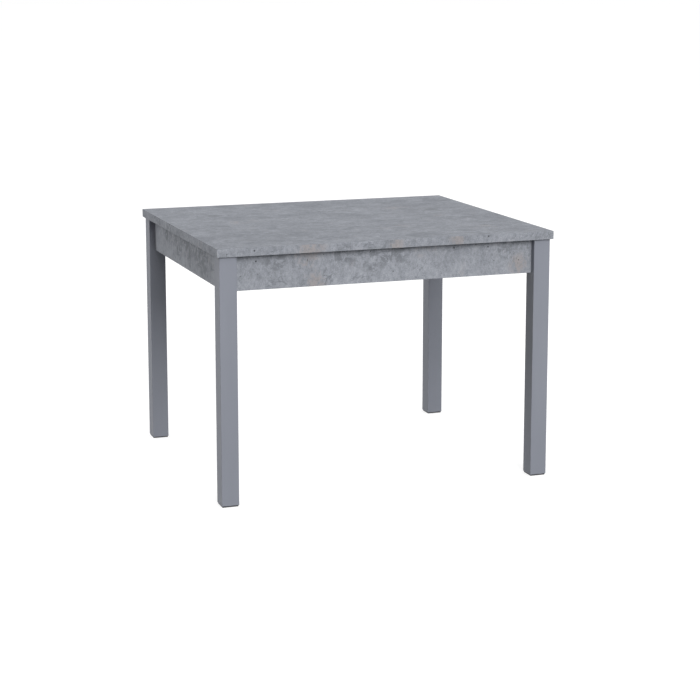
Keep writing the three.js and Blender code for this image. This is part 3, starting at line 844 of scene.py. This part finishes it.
eased = []
for name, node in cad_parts.items():
    for start, (finish, arris) in KEPT.items():
        if not name.startswith(start):
            continue
        for slot in node.material_slots:
            slot.material = finish
        weld = node.modifiers.new("one_skin", "WELD")
        weld.merge_threshold = WELD_REACH
        bevel = node.modifiers.new("eased_edges", "BEVEL")
        bevel.limit_method = "ANGLE"
        bevel.angle_limit = EASED_ANGLE
        bevel.width = arris
        bevel.segments = EASED_STEPS
        bevel.harden_normals = True
        eased.append(name)
print("finished in place:", len(eased))

# %% [markdown]
# ## Dowels and rollers
#
# A joiner's dowel is beech, with chamfered ends to find its hole and flutes that let the glue and the air
# out. A roller is moulded nylon, with a hub and a rim thicker than the web between them, and holes in the web
# to save material. Both are turned from a profile. All eight rollers are the same, so one is made, and its
# mesh is copied. The roller's profile is in millimetres, and it starts and ends at the bore.

# %% Build the dowels
DOWEL_CHAMFER = 1.0 * MM
FLUTE_DEPTH = 0.35 * MM
FLUTE_STEPS = 60

dowel_length = dowel_boxes[0][1].x - dowel_boxes[0][0].x
dowel_profile = chamfered_bar(DOWEL_RADIUS, dowel_length, DOWEL_CHAMFER, DOWEL_RADIUS - DOWEL_CHAMFER)
dowels = joined([turned(dowel_profile, (low.x, (low.y + high.y) / 2, (low.z + high.z) / 2), (1, 0, 0),
                        FLUTE_STEPS, FLUTE_DEPTH) for low, high in dowel_boxes])
place_on_table(as_object("joint_dowels", dowels, [dowel_finish]), "left_half", "beech",
               *("joint_dowel_%d" % number for number in range(1, 5)))

# %% Build the rollers
ROLLER_PROFILE = [(0.0, 3.3), (0.0, 6.0), (1.2, 6.6), (1.2, 10.8), (0.0, 11.4), (0.0, 12.9), (0.4, 13.9),
                  (1.4, 14.5), (8.6, 14.5), (9.6, 13.9), (10.0, 12.9), (10.0, 11.4), (8.8, 10.8), (8.8, 6.6),
                  (10.0, 6.0), (10.0, 3.3)]
WEB_HOLES = 6
WEB_HOLE_RADIUS = 1.5 * MM
WEB_HOLE_PLACE = 8.7 * MM
WEB_HOLE_STEPS = 16
ROLLER_STEPS = 56

profile = [(along * MM, radius * MM) for along, radius in ROLLER_PROFILE]
roller_width = profile[-1][0]
wheel_solid = turned(profile, axis=(0, 1, 0), steps=ROLLER_STEPS, bored=True)
wheel = as_object("roller_pattern", wheel_solid, [nylon_finish])
web_holes = []
for number in range(WEB_HOLES):
    turn = 2 * math.pi * number / WEB_HOLES
    place = (WEB_HOLE_PLACE * math.cos(turn), -CUT_START, WEB_HOLE_PLACE * math.sin(turn))
    through = roller_width + 2 * CUT_START
    web_holes.append(turned(bar(WEB_HOLE_RADIUS, through), place, (0, 1, 0), WEB_HOLE_STEPS))
carved(wheel, joined(web_holes), [nylon_finish])
for row in ROWS:
    for end in ENDS:
        for where in ("inner", "outer"):
            name = "roller_%s_%s_%s" % (row, end, where)
            low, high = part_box(name)
            shape = wheel.data.copy()
            shape.transform(Matrix.Translation(((low.x + high.x) / 2, low.y, (low.z + high.z) / 2)))
            copy = bpy.data.objects.new(name + "_wheel", shape)
            bpy.context.scene.collection.objects.link(copy)
            place_on_table(copy, name, "nylon", name)
bpy.data.objects.remove(wheel)

# %% [markdown]
# ## Hinges of the folded leaf
#
# A butt hinge has two plates whose ends are rolled in turn round one pin, and each rolled end is a knuckle.
# The plates lie in the gap of the fold. The knuckles are turned one by one with hairline gaps between them,
# every other one is tied to the same plate, and the pin stands out a little at both ends.

# %% Build the hinges
KNUCKLES = 5
KNUCKLE_GAP = 0.5 * MM
PLATE_THICK = 1.0 * MM
HINGE_PIN_RADIUS = 1.9 * MM
PIN_SHOWS = 0.7 * MM
PIN_CHAMFER = 0.4 * MM
PIN_TIP = 0.6
PLATE_ARRIS = 0.2 * MM
PLATES_APART = 0.15 * MM
KNUCKLE_CHAMFER = 0.3 * MM

for end in ENDS:
    low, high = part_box("leaf_hinge_" + end)
    barrel = (high.z - low.z) / 2
    axis_y, axis_z = high.y - barrel, (low.z + high.z) / 2
    step = (high.x - low.x - 2 * PIN_SHOWS + KNUCKLE_GAP) / KNUCKLES
    solids = []
    for side in (-1, 1):
        inner, outer = axis_z + side * PLATES_APART, axis_z + side * (PLATES_APART + PLATE_THICK)
        bottom, top = min(inner, outer), max(inner, outer)
        plate_high = (high.x - PIN_SHOWS, axis_y - barrel - KNUCKLE_GAP, top)
        solids.append(board((low.x + PIN_SHOWS, low.y, bottom), plate_high, PLATE_ARRIS))
        for number in range(0 if side > 0 else 1, KNUCKLES, 2):
            start = low.x + PIN_SHOWS + number * step
            stop = start + step - KNUCKLE_GAP
            solids.append(board((start, axis_y - barrel - 2 * KNUCKLE_GAP, bottom),
                                (stop, axis_y - barrel / 2, top), PLATE_ARRIS))
            knuckle = chamfered_bar(barrel, stop - start, KNUCKLE_CHAMFER, barrel - KNUCKLE_CHAMFER)
            solids.append(turned(knuckle, (start, axis_y, axis_z), (1, 0, 0)))
    pin = chamfered_bar(HINGE_PIN_RADIUS, high.x - low.x, PIN_CHAMFER, HINGE_PIN_RADIUS * PIN_TIP)
    solids.append(turned(pin, (low.x, axis_y, axis_z), (1, 0, 0)))
    hinge = as_object("leaf_hinge_%s_knuckled" % end, joined(solids), [steel_finish])
    place_on_table(hinge, "frame", "zinc_steel", "leaf_hinge_" + end)

# %% [markdown]
# ## Screws and small angles
#
# Screws hold the channels to the aprons, the brackets to the aprons, and the sliders to the top. Small steel
# angles tie the battens to the aprons. A screw is seen only by its head, a low dome with a cross cut into it,
# so the heads are turned, and a set of cross-shaped cutters is carved out of all of them at once. Each kind
# of screw has two numbers, the radius of its head and how far that stands out. The screws in the channels are
# almost flush, because the rollers' rivets pass close by.

# %% A set of screw heads is one piece
HEAD_SEAT = 0.3 * MM
DOME = ((0.25, 1.0), (0.62, 0.93), (0.88, 0.78), (1.0, 0.56))
CROSS_HALF_LENGTH = 0.56
CROSS_HALF_BREADTH = 0.13
CROSS_FLOOR = 0.2
HEAD_STEPS = 28


def cross_cutter(place, way, radius, bottom, top):
    """A prism whose outline is a cross, from the floor of the cut to above the head."""
    reach, half = CROSS_HALF_LENGTH * radius, CROSS_HALF_BREADTH * radius
    outline = [(half, half), (half, reach), (-half, reach), (-half, half), (-reach, half), (-reach, -half),
               (-half, -half), (-half, -reach), (half, -reach), (half, -half), (reach, -half), (reach, half)]
    turn = facing(place, way)
    solid = bmesh.new()
    layers = [[solid.verts.new(turn @ Vector((x, y, z))) for x, y in outline] for z in (bottom, top)]
    solid.faces.new(layers[0])
    solid.faces.new(layers[1])
    for here, after in zip(range(len(outline)), [*range(1, len(outline)), 0]):
        solid.faces.new((layers[0][here], layers[0][after], layers[1][after], layers[1][here]))
    return solid


def screw_heads(name, body, places, radius, rise):
    """places lists (middle of the seat, way the head faces), and rise is how far a head stands out."""
    dome = [(rise * height, radius * breadth) for height, breadth in DOME]
    profile = [(-HEAD_SEAT, 0), (-HEAD_SEAT, radius), *dome, (rise, 0)]
    heads = [turned(profile, place, way, HEAD_STEPS) for place, way in places]
    bottom, top = rise * CROSS_FLOOR, rise + HEAD_SEAT
    crosses = [cross_cutter(place, way, radius, bottom, top) for place, way in places]
    thing = carved(as_object(name, joined(heads), [steel_finish]), joined(crosses), [steel_finish])
    print(name, "holds", len(places), "screws")
    return place_on_table(thing, body, "zinc_steel")


# %% Screws in the channels
CHANNEL_SCREW_PLACES = [part * MM for part in (64, 192, 320, 446)]
CHANNEL_SCREW = (4.0 * MM, 0.5 * MM)
WALL = 3 * MM

places = []
for row, side in ROWS.items():
    low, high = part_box("runner_channel_" + row)
    web = (low.y + WALL) if side < 0 else (high.y - WALL)
    places += [((end * reach, web, (low.z + high.z) / 2), (0, -side, 0))
               for end in (-1, 1) for reach in CHANNEL_SCREW_PLACES]
screw_heads("channel_screws", "frame", places, *CHANNEL_SCREW)

# %% Screws under the sliders
SLIDER_SCREW_PLACES = [part * MM for part in (56, 140, 222)]
FLANGE_SCREW_INSET = 11 * MM
BOARD_SCREW = (4.2 * MM, 2.2 * MM)

for end, out_way in ENDS.items():
    places = []
    for row, side in ROWS.items():
        low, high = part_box("slider_%s_%s" % (row, end))
        inner_edge = high.y if side < 0 else low.y
        seat = (inner_edge + side * FLANGE_SCREW_INSET, high.z - WALL)
        places += [((out_way * reach, *seat), (0, 0, -1)) for reach in SLIDER_SCREW_PLACES]
    screw_heads("slider_screws_" + end, end + "_half", places, *BOARD_SCREW)

# %% Screws in the corner brackets
BRACKET_WALL = 3 * MM
FLANGE_MIDDLE = 15 * MM
SCREW_SPREAD = 12 * MM

places = []
for row, side in ROWS.items():
    for end, out_way in ENDS.items():
        low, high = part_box("corner_bracket_%s_%s" % (row, end))
        inner_x, outer_x = (high.x, low.x) if out_way < 0 else (low.x, high.x)
        inner_y, outer_y = (high.y, low.y) if side < 0 else (low.y, high.y)
        for height in (-SCREW_SPREAD, SCREW_SPREAD):
            z = (low.z + high.z) / 2 + height
            on_long_apron = (inner_x + out_way * FLANGE_MIDDLE, outer_y - side * BRACKET_WALL, z)
            on_end_apron = (outer_x - out_way * BRACKET_WALL, inner_y + side * FLANGE_MIDDLE, z)
            places.append((on_long_apron, (0, -side, 0)))
            places.append((on_end_apron, (-out_way, 0, 0)))
screw_heads("bracket_screws", "frame", places, *BOARD_SCREW)

# %% Steel angles at the battens' ends
ANGLE_WALL = 2 * MM
ANGLE_REACH = 26 * MM
ANGLE_MARGIN = 2.5 * MM
ANGLE_SCREW_PLACE = 0.62 * ANGLE_REACH
ANGLE_SCREW = (3.6 * MM, 1.8 * MM)

angles, places = [], []
for end, out_way in ENDS.items():
    low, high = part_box("leaf_bearer_" + end)
    flank = low.x if out_way < 0 else high.x
    bottom, top = low.z + ANGLE_MARGIN, high.z - ANGLE_MARGIN
    for side, tip in ((-1, low.y), (1, high.y)):
        for first, second in (((flank, tip), (flank + out_way * ANGLE_WALL, tip - side * ANGLE_REACH)),
                              ((flank, tip), (flank + out_way * ANGLE_REACH, tip - side * ANGLE_WALL))):
            near = (min(first[0], second[0]), min(first[1], second[1]), bottom)
            far = (max(first[0], second[0]), max(first[1], second[1]), top)
            angles.append(board(near, far, PLATE_ARRIS))
        middle = (bottom + top) / 2
        on_batten = (flank + out_way * ANGLE_WALL, tip - side * ANGLE_SCREW_PLACE, middle)
        on_apron = (flank + out_way * ANGLE_SCREW_PLACE, tip - side * ANGLE_WALL, middle)
        places.append((on_batten, (out_way, 0, 0)))
        places.append((on_apron, (0, -side, 0)))
place_on_table(as_object("bearer_angles", joined(angles), [steel_finish]), "frame", "zinc_steel")
screw_heads("bearer_screws", "frame", places, *ANGLE_SCREW)

# %% [markdown]
# ## Floor, walls and light
#
# The table stands on a plain white floor in a white studio. The floor glows a little, as a light table does,
# so that the shadows on it stay faint, and it sends no light back up, so that the underside and the inner
# sides of the legs stay in shade. The walls are seen by the camera and do nothing else. The light of the room
# itself comes from the world: it is brighter above than below, and shaded on the left in front. Three wide
# soft lamps lift the fronts, the left sides and the right sides.

# %% Lay the floor and put up the walls
FLOOR_HALF = 400.0
FLOOR_SQUARES = 8
WALL_HALF = 60.0
FLOOR_LOOK = {"Base Color": (0.36, 0.36, 0.36, 1.0), "Roughness": 0.9, "Specular IOR Level": 0.0,
              "Emission Color": (1.0, 1.0, 1.0, 1.0), "Emission Strength": 0.72}
WALL_LOOK = {"Base Color": (0.0, 0.0, 0.0, 1.0), "Roughness": 1.0, "Specular IOR Level": 0.0,
             "Emission Color": (1.0, 1.0, 1.0, 1.0), "Emission Strength": 1.0}

floor_solid = bmesh.new()
bmesh.ops.create_grid(floor_solid, x_segments=FLOOR_SQUARES, y_segments=FLOOR_SQUARES, size=FLOOR_HALF)
floor = as_object("studio_floor", floor_solid, [new_finish("studio_floor").shade(FLOOR_LOOK, {})])
walls_solid = bmesh.new()
bmesh.ops.create_cube(walls_solid, size=2 * WALL_HALF)
walls = as_object("studio_walls", walls_solid, [new_finish("studio_walls").shade(WALL_LOOK, {})])
for surface in (floor, walls):
    surface.visible_diffuse = False
    surface.visible_shadow = False
walls.visible_glossy = False

# %% Light the room
ROOM_ABOVE = 0.88
ROOM_BELOW = 0.24
ROOM_RISE = (-0.20, 0.40)
LEFT_SHADE = 0.45
LEFT_SHADE_START, LEFT_SHADE_FULL = 0.15, 0.90
FRONT_SHARE = 0.3

bpy.context.scene.world = bpy.data.worlds.new("white_room")
room = Finish(bpy.context.scene.world, "Generated")
leftward = 0 - room.part(room.here, "X")
frontward = 0 - room.part(room.here, "Y")
shaded = (leftward + frontward * FRONT_SHARE).between(LEFT_SHADE_START, LEFT_SHADE_FULL) * LEFT_SHADE
glow = ROOM_BELOW + room.part(room.here, "Z").between(*ROOM_RISE) * (ROOM_ABOVE - ROOM_BELOW)
light = room.node("Background", None, {"Color": (1.0, 1.0, 1.0, 1.0), "Strength": glow * (1 - shaded)})
room.node("OutputWorld", None, {"Surface": light})
print("room light has", len(room.tree.nodes), "nodes")

# %% Set up the lamps
LAMP_AIM = Vector((0, 0, 0.5))


def soft_lamp(name, place, size, watts):
    lamp = bpy.data.lights.new(name, "AREA")
    lamp.shape = "SQUARE"
    lamp.size = size
    lamp.energy = watts
    thing = bpy.data.objects.new(name, lamp)
    thing.location = place
    thing.rotation_euler = (LAMP_AIM - Vector(place)).to_track_quat("-Z", "Y").to_euler()
    bpy.context.scene.collection.objects.link(thing)
    print(name, "at", place, "with", watts, "W")


soft_lamp("front_lamp", (0.8, -11.0, 5.6), size=6.0, watts=1190)
soft_lamp("left_lamp", (-8.0, 6.0, 4.5), size=4.0, watts=390)
soft_lamp("right_lamp", (10.5, 2.5, 4.0), size=5.0, watts=400)
bpy.context.scene.view_settings.view_transform = "Standard"
